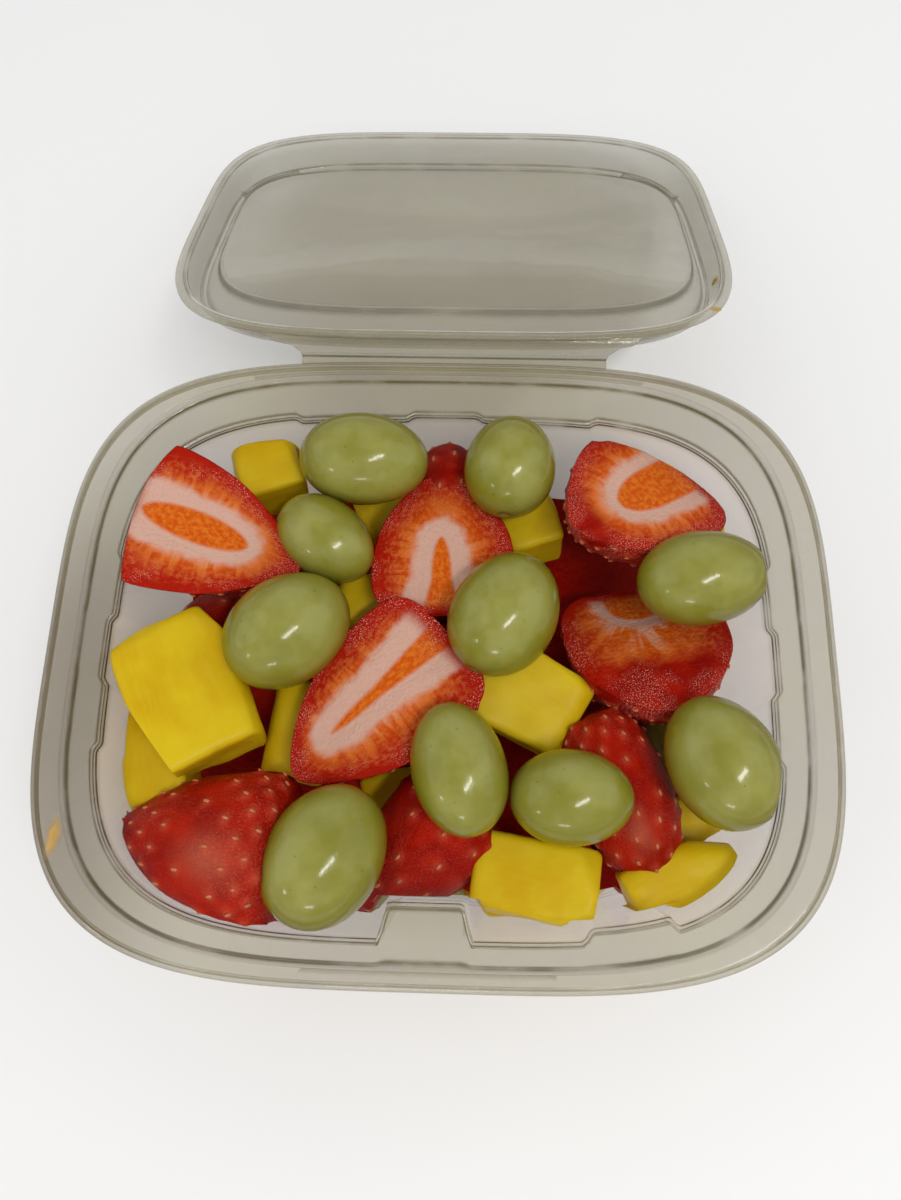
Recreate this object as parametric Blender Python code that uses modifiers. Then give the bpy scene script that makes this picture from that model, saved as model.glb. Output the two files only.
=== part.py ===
"""Fruit cup: a clear hinged tub heaped with strawberry halves, mango chunks and green grapes.

Metres, +Z up. The origin is the centre of the tub's underside, +X is the viewer's right and
+Y points to the hinge. The lid is modelled folded back behind the tub.
"""
import math
import random

import bmesh
import bpy
from mathutils import Euler, Matrix, Vector
from mathutils.bvhtree import BVHTree

MM = 0.001
NAME = "fruit_cup"

# Tub: outer size of the rim, height, sheet thickness
RIM_HALF_X = 84.0
RIM_HALF_Y = 68.25
HEIGHT = 64.0
SHEET = 0.8
CORNER_POWER = 3.8
LEDGE_DROP = 1.6

# Lid: outer size of its flange when shut, rise of its shelf and of its panel above the rim
LID_HALF_X = 73.6
LID_HALF_Y = 62.3
LID_CENTRE_Y = 0.2
LID_SHEET = 0.7
LID_POWER = 4.1
FLANGE_Z = -1.2
SHELF_Z = 8.4
PANEL_Z = 9.9

# Hinge: line of the axis behind the rim, and how far the lid is folded back
HINGE_Y = RIM_HALF_Y + 0.9
OPEN_DEG = 205.6
STRIP_LEFT = -34.0
STRIP_RIGHT = 37.0
STRIP_THICK = 0.6

# Stretches of wall pressed inwards: from, to along the wall, and depth at the top edge
WALL_STEPS = {
    "front": ((-9.5, 7.5, 7.0), (31.0, 48.0, 2.4)),
    "back": ((8.0, 34.0, 1.2), (-34.0, -8.0, 1.2)),
    "side": ((7.0, 21.0, 1.2), (-21.0, -7.0, 1.2)),
}
STEP_SLOPE = 2.2

# Clearance between neighbouring pieces
GAP = 0.4
PRESS_GAP = 0.9
PRESS_SPREAD = 3.5

# Grapes: centre x, y, height over the rim, half length, half width, heading, lean
GRAPES = [
    (-18.4, 44.0, -2.8, 14.8, 10.5, -2, 0),
    (15.0, 43.0, -3.4, 12.0, 10.4, 84, 0),
    (-26.6, 25.6, -6.0, 12.3, 9.1, -37, 0),
    (-32.8, 3.3, -2.6, 14.6, 11.6, 38, 0),
    (14.0, 7.9, -2.4, 14.2, 11.5, 63, 0),
    (57.2, 17.0, -2.6, 14.4, 10.4, 8, 0),
    (5.0, -25.4, -2.4, 14.0, 9.9, 105, 0),
    (28.2, -30.6, -3.6, 12.8, 9.8, 0, 0),
    (59.2, -22.8, -2.8, 14.4, 11.3, 117, 0),
    (-21.8, -43.4, -2.9, 15.0, 12.0, 60, 0),
]

# Strawberry halves: name, centre x, y, height, length, width, depth, heading, pitch, roll,
# how fast it narrows to the tip, face up
BERRIES = [
    ("strawberry_a", -51.5, 24.4, -1.5, 43, 28.5, 15, -19, 6, 4, 0.42, True),
    ("strawberry_b", 0.2, 26.0, -7.5, 35, 31, 14, 92, 2, 0, 0.22, True),
    ("strawberry_c", 43.0, 37.0, -4.5, 38, 33, 18, 216, -20, 4, 0.28, True),
    ("strawberry_d", -13.8, -12.0, -6.0, 45, 30, 14, 224, 4, 0, 0.26, True),
    ("strawberry_e", 47.5, 4.0, -13.0, 38, 37, 19, -80, -30, 0, 0.12, True),
    ("strawberry_f", -50.5, -41.5, -13.0, 44, 28, 15, 174, 8, 0, 0.50, False),
    ("strawberry_g", -4.5, -42.0, -20.0, 36, 24, 14, 222, 6, 0, 0.35, False),
    ("strawberry_h", 41.0, -29.5, -19.0, 40, 23, 15, -66, 4, 0, 0.02, False),
    ("strawberry_i", 0.5, 46.0, -16.0, 18, 17, 9, 80, 0, 0, 0.14, False),
    ("strawberry_j", -51.0, 9.5, -24.0, 20, 17, 10, 20, 0, 0, 0.14, False),
]
CROWN_POWER = 5.0
END_NARROWING = 0.20

# Mango chunks: centre x, y, height, size x, y, z, heading, pitch, roll
# CORNER_CUTS trims a chunk by upright planes: direction in degrees and distance from its centre
CORNER_CUTS = {
    2: ((113.0, 14.0), (-155.0, 17.0), (-75.0, 12.5)),
    7: ((62.0, 7.5),),
}
MANGO = [
    (-43.0, 45.0, -15.0, 17, 16, 15, 20, 6, 0),
    (-55.0, -9.2, -10.5, 36, 27, 17, -65, 0, -9),
    (-62.5, -23.5, -18.5, 24, 14, 17, -74, 0, 0),
    (-32.0, -16.5, -22.0, 15, 24, 16, -8, 0, 0),
    (20.0, -8.2, -17.0, 27, 21, 17, -28, 6, 6),
    (21.5, -47.0, -16.5, 28, 18, 17, -10, -4, 0),
    (53.0, -45.5, -19.0, 28, 14, 15, 26, 0, 0),
    (20.0, 35.5, -20.0, 15, 18, 16, 18, 0, 0),
    (-18.5, 12.5, -21.0, 11, 17, 16, 8, 0, 0),
    (57.5, -33.0, -30.0, 12, 12, 14, 30, 0, 0),
    (62.0, 38.0, -19.0, 13, 12, 14, -20, 0, 0),
    (-11.0, -29.5, -32.0, 14, 12, 12, 15, 0, 0),
]

# Fruit below: height of the core, number and seed of the pieces round it
BED_TOP = 32.0
BED_INSET = 2.5
BED_LEVELS = ((13.0, 12, 57.0, 43.0), (27.0, 12, 59.0, 45.0))
BED_SEED = 7


def material(name, colour, roughness, alpha=1.0):
    """A plain Principled finish."""
    made = bpy.data.materials.new(name)
    made.use_nodes = True
    shader = made.node_tree.nodes["Principled BSDF"]
    shader.inputs["Base Color"].default_value = (*colour, 1.0)
    shader.inputs["Roughness"].default_value = roughness
    shader.inputs["Alpha"].default_value = alpha
    return made


def add_object(name, mesh, finish, collection):
    """Link a mesh under its name, with its material."""
    made = bpy.data.objects.new(name, mesh)
    mesh.materials.clear()
    mesh.materials.append(finish)
    collection.objects.link(made)
    return made


def bm_to_mesh(bm, name, smooth=True):
    """Close off a bmesh as a named mesh with its faces outwards."""
    bmesh.ops.recalc_face_normals(bm, faces=bm.faces)
    mesh = bpy.data.meshes.new(name)
    bm.to_mesh(mesh)
    bm.free()
    if smooth:
        mesh.shade_smooth()
        mesh.set_sharp_from_angle(angle=math.radians(40))
    return mesh


def unit_outline(power, near_middle, corner_steps):
    """Points round a unit superellipse, dense where the wall's ribs are."""
    points = []
    limit = near_middle[-1]
    across = [-value for value in reversed(near_middle)] + [0.0] + list(near_middle)

    def partner(value):
        return (1.0 - abs(value) ** power) ** (1.0 / power)

    start = math.atan2(limit ** (power / 2), partner(limit) ** (power / 2))
    corner = []
    for step in range(1, corner_steps):
        angle = start + (math.pi / 2 - 2 * start) * step / corner_steps
        corner.append((math.cos(angle) ** (2 / power), math.sin(angle) ** (2 / power)))
    for value in across:
        points.append((partner(value), value))
    points += [(u, v) for u, v in corner]
    for value in reversed(across):
        points.append((value, partner(value)))
    points += [(-u, v) for u, v in reversed(corner)]
    for value in reversed(across):
        points.append((-partner(value), value))
    points += [(-u, -v) for u, v in corner]
    for value in across:
        points.append((value, -partner(value)))
    points += [(u, -v) for u, v in reversed(corner)]
    return points


def wall_push(u, v, x, y, spread=0.0):
    """How far the wall is pressed in at a place, in mm, each step widened by spread."""
    if abs(v) > abs(u):
        steps, along = WALL_STEPS["back" if v > 0 else "front"], x
    else:
        steps, along = WALL_STEPS["side"], y
    push = 0.0
    for start, end, depth in steps:
        inside = (min(along - start, end - along) + spread) / STEP_SLOPE + 0.5
        t = min(max(inside, 0.0), 1.0)
        push += depth * t * t * (3 - 2 * t)
    return push


def ring(outline, half_x, half_y, centre_y, z, rib=0.0):
    """One level of a loft in mm, with the wall's ribs pushed in by rib times their depth."""
    points = []
    for u, v in outline:
        x, y = u * half_x, v * half_y
        push = rib * wall_push(u, v, x, y)
        if abs(v) > abs(u):
            y -= math.copysign(push, y)
        else:
            x -= math.copysign(push, x)
        points.append(Vector((x, y + centre_y, z)) * MM)
    return points


def loft(rings, close_first=False, close_last=True):
    """A skin through the rings, with a flat face over the ends that are closed."""
    bm = bmesh.new()
    rows = [[bm.verts.new(point) for point in points] for points in rings]
    count = len(rows[0])
    for upper, lower in zip(rows, rows[1:]):
        for i in range(count):
            j = (i + 1) % count
            bm.faces.new((upper[i], upper[j], lower[j], lower[i]))
    if close_last:
        bm.faces.new(rows[-1])
    if close_first:
        bm.faces.new(rows[0])
    return bm


TUB_OUTLINE = unit_outline(CORNER_POWER, (0.09, 0.12, 0.15, 0.28, 0.42, 0.48, 0.66, 0.76), 6)
CORE_OUTLINE = unit_outline(CORNER_POWER, (0.08, 0.17, 0.42, 0.70), 4)
LID_OUTLINE = unit_outline(LID_POWER, (0.2, 0.4, 0.56, 0.68, 0.78), 6)

# Tub's inside, wall's top edge down to the floor: half x, half y, centre y, height, share of the steps
WALL_X = RIM_HALF_X - 12.8
WALL_Y = RIM_HALF_Y - 11.45
CAVITY = [
    (WALL_X, WALL_Y, -2.0, HEIGHT - LEDGE_DROP - 1.2, 1.0),
    (WALL_X - 2.4, WALL_Y - 2.2, -1.6, HEIGHT * 0.5, 0.6),
    (WALL_X - 4.7, WALL_Y - 4.3, -1.0, 5.0, 0.15),
    (WALL_X - 7.0, WALL_Y - 6.6, -1.0, 1.8, 0.1),
    (WALL_X - 11.0, WALL_Y - 10.6, -1.0, SHEET, 0.05),
]

# Shut lid's underside, flange to panel: half x, half y, centre y, height
DOME = [
    (LID_HALF_X, LID_HALF_Y, LID_CENTRE_Y, HEIGHT + FLANGE_Z),
    (LID_HALF_X - 2.0, LID_HALF_Y - 2.65, -0.25, HEIGHT + FLANGE_Z),
    (LID_HALF_X - 2.6, LID_HALF_Y - 3.2, -0.25, HEIGHT + FLANGE_Z + 0.6),
    (LID_HALF_X - 3.8, LID_HALF_Y - 7.15, -3.15, HEIGHT + SHELF_Z - 0.8),
    (LID_HALF_X - 4.6, LID_HALF_Y - 7.95, -3.15, HEIGHT + SHELF_Z),
    (LID_HALF_X - 5.4, LID_HALF_Y - 18.45, -12.85, HEIGHT + SHELF_Z),
    (LID_HALF_X - 6.4, LID_HALF_Y - 19.7, -13.1, HEIGHT + PANEL_Z),
]


def room_at(z):
    """Half x, half y, centre y and share of the steps of the space for fruit at one height."""
    levels = [(*level[:4], 0.0) for level in reversed(DOME[2:5])] + CAVITY
    if z >= levels[0][3]:
        return levels[0]
    for upper, lower in zip(levels, levels[1:]):
        if z >= lower[3]:
            t = (z - lower[3]) / (upper[3] - lower[3])
            return [b + (a - b) * t for a, b in zip(upper, lower)]
    return levels[-1]


def press_in(obj, clearance):
    """Flatten a piece where it would pass through the tub's wall or the shut lid."""
    roof = HEIGHT + SHELF_Z - clearance
    for vert in obj.data.vertices:
        x, y, z = vert.co / MM
        z = min(z, roof + (PANEL_Z - SHELF_Z if y < 29.0 else 0.0))
        z = max(z, SHEET + clearance)
        half_x, half_y, centre_y, _, share = room_at(z)
        u, v = x / half_x, (y - centre_y) / half_y
        push = clearance + share * wall_push(u, v, x, y, PRESS_SPREAD)
        if abs(v) > abs(u):
            limit_x, limit_y = half_x - clearance, half_y - push
        else:
            limit_x, limit_y = half_x - push, half_y - clearance
        over = (abs(x / limit_x) ** CORNER_POWER
                + abs((y - centre_y) / limit_y) ** CORNER_POWER) ** (1 / CORNER_POWER)
        if over > 1:
            x, y = x / over, centre_y + (y - centre_y) / over
        vert.co = Vector((x, y, z)) * MM


def make_tub(collection, finish):
    """Rim lip, raised bead, ledge for the lid, ribbed wall and floor, as one pressed sheet."""
    top = HEIGHT
    ledge = HEIGHT - LEDGE_DROP
    rim = [
        ring(TUB_OUTLINE, RIM_HALF_X, RIM_HALF_Y, 0, top - 3.4),
        ring(TUB_OUTLINE, RIM_HALF_X, RIM_HALF_Y, 0, top - 0.9),
        ring(TUB_OUTLINE, RIM_HALF_X - 1.3, RIM_HALF_Y - 1.3, 0, top),
        ring(TUB_OUTLINE, RIM_HALF_X - 6.4, RIM_HALF_Y - 4.1, 0.2, top),
        ring(TUB_OUTLINE, RIM_HALF_X - 7.1, RIM_HALF_Y - 4.8, 0.2, ledge),
        ring(TUB_OUTLINE, WALL_X + 0.8, WALL_Y + 0.8, -2.0, ledge, 1.0),
    ]
    bm = loft(rim + [ring(TUB_OUTLINE, *level) for level in CAVITY])
    mesh = bpy.data.meshes.new("tub")
    bm.to_mesh(mesh)
    bm.free()
    tub = add_object("tub", mesh, finish, collection)
    wall = tub.modifiers.new("sheet", "SOLIDIFY")
    wall.thickness = SHEET * MM
    wall.offset = -1.0 if mesh.polygons[-1].normal.z > 0 else 1.0
    wall.use_even_offset = True
    return tub


def strip_mesh():
    """The hinge strip shut: from the lid's flange, up over the bead and down to the hinge line."""
    half = STRIP_THICK / 2
    path = [(59.2, -0.85), (60.8, -0.85), (61.7, 0.62), (67.3, 0.62), (HINGE_Y, 0.0)]
    bm = bmesh.new()
    sections = []
    for i, (y, z) in enumerate(path):
        before = Vector(path[max(i - 1, 0)])
        after = Vector(path[min(i + 1, len(path) - 1)])
        along = (after - before).normalized()
        flare = 4.0 if i < 2 else 0.0
        corners = []
        for x, side in ((STRIP_LEFT - flare, -1), (STRIP_RIGHT + flare, -1),
                        (STRIP_RIGHT + flare, 1), (STRIP_LEFT - flare, 1)):
            offset_y, offset_z = -along.y * half * side, along.x * half * side
            corners.append(bm.verts.new(Vector((x, y + offset_y, HEIGHT + z + offset_z)) * MM))
        sections.append(corners)
    for first, second in zip(sections, sections[1:]):
        for i in range(4):
            j = (i + 1) % 4
            bm.faces.new((first[i], first[j], second[j], second[i]))
    bm.faces.new(sections[0])
    bm.faces.new(sections[-1])
    return bm_to_mesh(bm, "strip", smooth=False)


def apply_boolean(target, other, operation, solver="EXACT"):
    """Fuse or cut target with other now, and drop the modifier."""
    change = target.modifiers.new(operation, "BOOLEAN")
    change.operation = operation
    change.solver = solver
    if isinstance(other, bpy.types.Collection):
        change.operand_type = "COLLECTION"
        change.collection = other
    else:
        change.object = other
    bake_modifiers(target)


def bake_modifiers(target):
    """Keep an object's evaluated mesh as its own mesh."""
    bpy.context.view_layer.update()
    graph = bpy.context.evaluated_depsgraph_get()
    mesh = bpy.data.meshes.new_from_object(target.evaluated_get(graph))
    target.modifiers.clear()
    old = target.data
    target.data = mesh
    bpy.data.meshes.remove(old)


def make_lid(collection, cutters, finish):
    """The dome lid with its hinge strip, fused shut and then folded back about the hinge line."""
    bm = loft([ring(LID_OUTLINE, *level) for level in DOME])
    mesh = bpy.data.meshes.new("lid")
    bm.to_mesh(mesh)
    bm.free()
    lid = add_object("lid", mesh, finish, collection)
    sheet = lid.modifiers.new("sheet", "SOLIDIFY")
    sheet.thickness = LID_SHEET * MM
    sheet.offset = 1.0 if mesh.polygons[-1].normal.z > 0 else -1.0
    sheet.use_even_offset = True
    bake_modifiers(lid)
    strip = add_object("strip_guide", strip_mesh(), finish, cutters)
    apply_boolean(lid, strip, "UNION")
    bpy.data.objects.remove(strip)
    axis = Vector((0, HINGE_Y, HEIGHT)) * MM
    lid.data.transform(Matrix.Translation(-axis))
    lid.location = axis
    lid.rotation_euler = (-math.radians(OPEN_DEG), 0, 0)
    return lid


def grape_mesh(name, half_length, half_width, segments=12, rings=8):
    """An egg-shaped grape along X, a little blunter at the stem end."""
    bm = bmesh.new()
    bmesh.ops.create_uvsphere(bm, u_segments=segments, v_segments=rings, radius=1.0)
    bmesh.ops.rotate(bm, verts=bm.verts, cent=(0, 0, 0), matrix=Matrix.Rotation(math.pi / 2, 3, "Y"))
    for vert in bm.verts:
        width = half_width * (1 - 0.04 * vert.co.x)
        vert.co = Vector((vert.co.x * half_length, vert.co.y * width, vert.co.z * width)) * MM
    return bm_to_mesh(bm, name)


def berry_mesh(name, length, width, depth, narrowing=0.14, segments=16, rings=10):
    """Half a strawberry: tip at +X, crown cut square at -X, flat face at z = 0, round body below."""
    bm = bmesh.new()
    bmesh.ops.create_uvsphere(bm, u_segments=segments, v_segments=rings, radius=1.0)
    bmesh.ops.rotate(bm, verts=bm.verts, cent=(0, 0, 0), matrix=Matrix.Rotation(math.pi / 2, 3, "Y"))
    cut = bmesh.ops.bisect_plane(bm, geom=bm.verts[:] + bm.edges[:] + bm.faces[:], dist=1e-5,
                                 plane_co=(0, 0, 0), plane_no=(0, 0, 1), clear_outer=True)
    edges = [item for item in cut["geom_cut"] if isinstance(item, bmesh.types.BMEdge)]
    bmesh.ops.contextual_create(bm, geom=edges)
    for vert in bm.verts:
        s, y, z = vert.co
        if s < 0:
            reach = max(math.hypot(y, z), 1e-9)
            square = reach ** (2 / CROWN_POWER - 1)
            s, y, z = -((-s) ** (2 / CROWN_POWER)), y * square, z * square
        taper = 1 - narrowing * s - END_NARROWING * s * s
        vert.co = Vector((s * length / 2, y * taper * width / 2, z * taper * depth)) * MM
    return bm_to_mesh(bm, name)


def chunk_mesh(name, size, seed, segments=2, cuts=()):
    """A knife-cut chunk: a box with uneven corners and softened edges."""
    draw = random.Random(seed)
    bm = bmesh.new()
    bmesh.ops.create_cube(bm, size=1.0)
    for vert in bm.verts:
        vert.co = Vector([vert.co[i] * size[i] * draw.uniform(0.84, 1.0) * MM for i in range(3)])
    for direction, distance in cuts:
        outwards = Vector((math.cos(math.radians(direction)), math.sin(math.radians(direction)), 0.0))
        cut = bmesh.ops.bisect_plane(bm, geom=bm.verts[:] + bm.edges[:] + bm.faces[:], dist=1e-6,
                                     plane_co=outwards * distance * MM, plane_no=outwards, clear_outer=True)
        edges = [item for item in cut["geom_cut"] if isinstance(item, bmesh.types.BMEdge)]
        if edges:
            bmesh.ops.contextual_create(bm, geom=edges)
    bmesh.ops.bevel(bm, geom=bm.edges[:], offset=0.16 * min(size) * MM, segments=segments,
                    affect="EDGES", profile=0.5, clamp_overlap=True)
    bmesh.ops.triangulate(bm, faces=bm.faces)
    return bm_to_mesh(bm, name)


def place(obj, x, y, over_rim, heading, pitch=0.0, roll=0.0):
    """Turn by roll about the piece's length, then pitch, then heading, and set it in the heap."""
    angles = [math.radians(value) for value in (roll, pitch, heading)]
    turn = Euler(angles, "XYZ").to_matrix().to_4x4()
    obj.data.transform(Matrix.Translation(Vector((x, y, HEIGHT + over_rim)) * MM) @ turn)


def make_fruit(collection, finishes):
    """Every piece that shows in the heap, uppermost first."""
    pieces = []
    for number, (x, y, z, length, width, heading, lean) in enumerate(GRAPES, 1):
        name = f"grape_{number:02d}"
        grape = add_object(name, grape_mesh(name, length, width), finishes["grape"], collection)
        place(grape, x, y, z, heading, lean)
        press_in(grape, PRESS_GAP)
        pieces.append(grape)
    for name, x, y, z, length, width, depth, heading, pitch, roll, narrowing, face_up in BERRIES:
        mesh = berry_mesh(name, length, width, depth, narrowing)
        if not face_up:
            mesh.transform(Matrix.Rotation(math.pi, 4, "X"))
        berry = add_object(name, mesh, finishes["strawberry"], collection)
        place(berry, x, y, z, heading, pitch, roll)
        press_in(berry, PRESS_GAP)
        pieces.append(berry)
    for number, (x, y, z, sx, sy, sz, heading, pitch, roll) in enumerate(MANGO, 1):
        name = f"mango_{number:02d}"
        mesh = chunk_mesh(name, (sx, sy, sz), number, 2, CORNER_CUTS.get(number, ()))
        chunk = add_object(name, mesh, finishes["mango"], collection)
        place(chunk, x, y, z, heading, pitch, roll)
        press_in(chunk, PRESS_GAP)
        pieces.append(chunk)
    return pieces


def box_of(obj):
    """Lowest and highest corners of an object's own mesh."""
    corners = [vert.co for vert in obj.data.vertices]
    low = Vector([min(c[i] for c in corners) for i in range(3)])
    high = Vector([max(c[i] for c in corners) for i in range(3)])
    return low, high


def grown_copy(obj, cutters):
    """A cutter like obj but larger all round by the gap between pieces."""
    bm = bmesh.new()
    bm.from_mesh(obj.data)
    bm.normal_update()
    moves = [vert.normal * vert.calc_shell_factor() * GAP * MM for vert in bm.verts]
    for vert, move in zip(bm.verts, moves):
        vert.co += move
    mesh = bpy.data.meshes.new("grown")
    bm.to_mesh(mesh)
    bm.free()
    cutter = bpy.data.objects.new("grown_" + obj.name, mesh)
    cutters.objects.link(cutter)
    return cutter


def meet(first, second):
    """True where two pieces' surfaces cross."""
    low_a, high_a = box_of(first)
    low_b, high_b = box_of(second)
    if any(high_a[i] < low_b[i] or high_b[i] < low_a[i] for i in range(3)):
        return False
    trees = []
    for obj in (first, second):
        bm = bmesh.new()
        bm.from_mesh(obj.data)
        trees.append(BVHTree.FromBMesh(bm))
        bm.free()
    return bool(trees[0].overlap(trees[1]))


def settle(pieces, cutters):
    """Dent each piece where one lying on it presses in, so that none shares space with another."""
    for index, lower in enumerate(pieces):
        for upper in pieces[:index]:
            cutter = grown_copy(upper, cutters)
            if meet(lower, cutter):
                apply_boolean(lower, cutter, "DIFFERENCE")
            bpy.data.objects.remove(cutter)


def make_bed(collection, finish):
    """The hidden fruit: a core with the pieces that show through the wall fused to it."""
    core = []
    for half_x, half_y, centre_y, z, share in CAVITY:
        height = min(z, BED_TOP) + BED_INSET * (z < 2)
        core.append(ring(CORE_OUTLINE, half_x - BED_INSET, half_y - BED_INSET, centre_y, height, share))
    core = core[1:]
    bed = add_object("fruit_bed", bm_to_mesh(loft(core, True), "fruit_bed"), finish, collection)
    heap = bpy.data.collections.new("bed_pieces")
    bpy.context.scene.collection.children.link(heap)
    draw = random.Random(BED_SEED)
    for level, (height, count, half_x, half_y) in enumerate(BED_LEVELS):
        for index in range(count):
            angle = 2 * math.pi * (index + 0.5 * level) / count
            reach = (abs(math.cos(angle)) ** CORNER_POWER
                     + abs(math.sin(angle)) ** CORNER_POWER) ** (-1 / CORNER_POWER)
            x, y = math.cos(angle) * reach * half_x, math.sin(angle) * reach * half_y - 1.5
            kind = (index + level) % 3
            name = f"bed_{level}_{index}"
            if kind == 0:
                mesh = grape_mesh(name, 12.5, 10.0, 9, 6)
            elif kind == 1:
                mesh = chunk_mesh(name, (20, 17, 17), index + 40, 1)
            else:
                mesh = berry_mesh(name, 30, 25, 14, 0.14, 8, 6)
            piece = add_object(name, mesh, finish, heap)
            place(piece, x, y, height - HEIGHT + draw.uniform(-1.5, 1.5), draw.uniform(0, 360),
                  draw.uniform(-20, 20), draw.uniform(-20, 20))
            press_in(piece, PRESS_GAP)
    apply_boolean(bed, heap, "UNION")
    for piece in list(heap.objects):
        bpy.data.objects.remove(piece)
    bpy.data.collections.remove(heap)
    return bed


def main():
    for old in list(bpy.data.objects):
        bpy.data.objects.remove(old)
    collection = bpy.data.collections.new(NAME)
    cutters = bpy.data.collections.new("cutters")
    for made in (collection, cutters):
        bpy.context.scene.collection.children.link(made)
    clear = material("clear_plastic", (0.86, 0.87, 0.84), 0.08, 0.25)
    finishes = {
        "grape": material("grape_skin", (0.36, 0.39, 0.08), 0.2),
        "strawberry": material("strawberry_flesh", (0.55, 0.02, 0.01), 0.35),
        "mango": material("mango_flesh", (0.80, 0.45, 0.01), 0.4),
    }
    make_tub(collection, clear)
    make_lid(collection, cutters, clear)
    pieces = make_fruit(collection, finishes)
    pieces.append(make_bed(collection, finishes["mango"]))
    settle(pieces, cutters)


main()
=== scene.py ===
# %% [markdown]
# # A fruit cup, dressed for a photograph
# A clear hinged tub stands open. Strawberry halves, mango chunks and green grapes are heaped in it.
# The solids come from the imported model. Every piece that shows gets a finer surface here, worked out
# with numpy on a grid of two parameters, and a finish made of nodes.

# %% Load the solids
import math
import random

import bpy
import numpy as np
from mathutils import Euler, Matrix, Vector
from mathutils.bvhtree import BVHTree


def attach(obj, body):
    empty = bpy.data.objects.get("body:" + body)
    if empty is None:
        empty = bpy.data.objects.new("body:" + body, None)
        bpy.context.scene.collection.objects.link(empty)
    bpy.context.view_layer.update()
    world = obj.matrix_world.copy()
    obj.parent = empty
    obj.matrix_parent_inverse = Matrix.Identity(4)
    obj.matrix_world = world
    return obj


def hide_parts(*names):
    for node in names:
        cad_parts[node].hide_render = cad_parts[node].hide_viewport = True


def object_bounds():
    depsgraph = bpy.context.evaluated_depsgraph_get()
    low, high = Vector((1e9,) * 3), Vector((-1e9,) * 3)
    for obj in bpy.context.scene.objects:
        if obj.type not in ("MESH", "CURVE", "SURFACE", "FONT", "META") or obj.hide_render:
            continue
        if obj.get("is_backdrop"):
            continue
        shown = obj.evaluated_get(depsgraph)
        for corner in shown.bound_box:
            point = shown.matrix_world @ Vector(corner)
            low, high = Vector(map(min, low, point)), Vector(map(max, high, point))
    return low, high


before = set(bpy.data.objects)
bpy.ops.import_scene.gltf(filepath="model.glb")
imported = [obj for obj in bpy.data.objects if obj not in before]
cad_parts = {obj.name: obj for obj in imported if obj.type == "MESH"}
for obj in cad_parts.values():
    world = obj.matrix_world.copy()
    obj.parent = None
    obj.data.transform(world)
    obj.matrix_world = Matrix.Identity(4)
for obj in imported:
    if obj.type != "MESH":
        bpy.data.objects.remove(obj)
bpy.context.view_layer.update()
MM = 0.001

# %% [markdown]
# ## The camera
# The photograph was taken by hand from above the front edge. Its place was worked out from the rim
# and the lid, whose real outlines are known: three directions and a point fix it completely.

# %% Camera
CAMERA_AT = Vector((6.87, -45.44, 249.01)) * MM
RIGHT = Vector((0.99950754, 0.0266788, -0.01652034))
UP = Vector((-0.02080981, 0.9575883, 0.28738755))
FORWARD = Vector((-0.02348684, 0.28690224, -0.9576719))
FOCAL_PIXELS = 900.0
PHOTO_SIZE = (901, 1200)

lens = bpy.data.cameras.new("photo_view")
lens.sensor_fit = "VERTICAL"
lens.sensor_height = 36.0
lens.lens = FOCAL_PIXELS / PHOTO_SIZE[1] * lens.sensor_height
lens.clip_start = 0.01
camera = bpy.data.objects.new("photo_view", lens)
bpy.context.scene.collection.objects.link(camera)
camera.matrix_world = Matrix.Translation(CAMERA_AT) @ Matrix((RIGHT, UP, -FORWARD)).transposed().to_4x4()
bpy.context.scene.camera = camera
bpy.context.scene.view_settings.view_transform = "Standard"
print("lens in mm:", round(lens.lens, 2))

# %% [markdown]
# ## Small helpers for materials
# A finish is a Principled shader with nodes in front of it. Short helpers keep the node code
# readable: one adds a node, one does arithmetic, one blends two colours by a mask, and so on.

# %% Node helpers
def node(tree, kind, **settings):
    """Add a shader node of a kind and set its own options."""
    made = tree.nodes.new("ShaderNode" + kind)
    for key, value in settings.items():
        setattr(made, key, value)
    return made


def feed(tree, socket, value):
    """Link an output into a socket, or set the socket to a plain value."""
    if isinstance(value, bpy.types.NodeSocket):
        tree.links.new(value, socket)
    else:
        socket.default_value = value


def calc(tree, operation, *values, clamp=False):
    """One step of arithmetic: operation(values)."""
    made = node(tree, "Math", operation=operation, use_clamp=clamp)
    for socket, value in zip(made.inputs, values):
        feed(tree, socket, value)
    return made.outputs[0]


def times(tree, one, other, clamp=False):
    """The product of two values, such as two masks."""
    return calc(tree, "MULTIPLY", one, other, clamp=clamp)


def ramp(tree, value, low, high, start=0.0, end=1.0):
    """A soft step: start below low, end above high, smooth between."""
    made = node(tree, "MapRange", interpolation_type="SMOOTHSTEP")
    for socket, number in zip(made.inputs[:5], (value, low, high, start, end)):
        feed(tree, socket, number)
    return made.outputs[0]


def tint(tree, mask, under, over):
    """under where the mask is 0, over where it is 1."""
    made = node(tree, "Mix", data_type="RGBA")
    feed(tree, made.inputs["Factor"], mask)
    for socket, colour in zip((made.inputs[6], made.inputs[7]), (under, over)):
        feed(tree, socket, colour if isinstance(colour, bpy.types.NodeSocket) else (*colour, 1.0))
    return made.outputs[2]


def noise(tree, vector, scale, detail=2.0, roughness=0.5, distortion=0.0):
    """Cloudy noise between about 0.3 and 0.7 at a place."""
    made = node(tree, "TexNoise")
    feed(tree, made.inputs["Vector"], vector)
    for name, number in (("Scale", scale), ("Detail", detail), ("Roughness", roughness),
                         ("Distortion", distortion)):
        feed(tree, made.inputs[name], number)
    return made.outputs["Fac"]


def attribute(tree, name, output="Vector"):
    """Read a named attribute of the mesh."""
    return node(tree, "Attribute", attribute_name=name).outputs[output]


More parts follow.
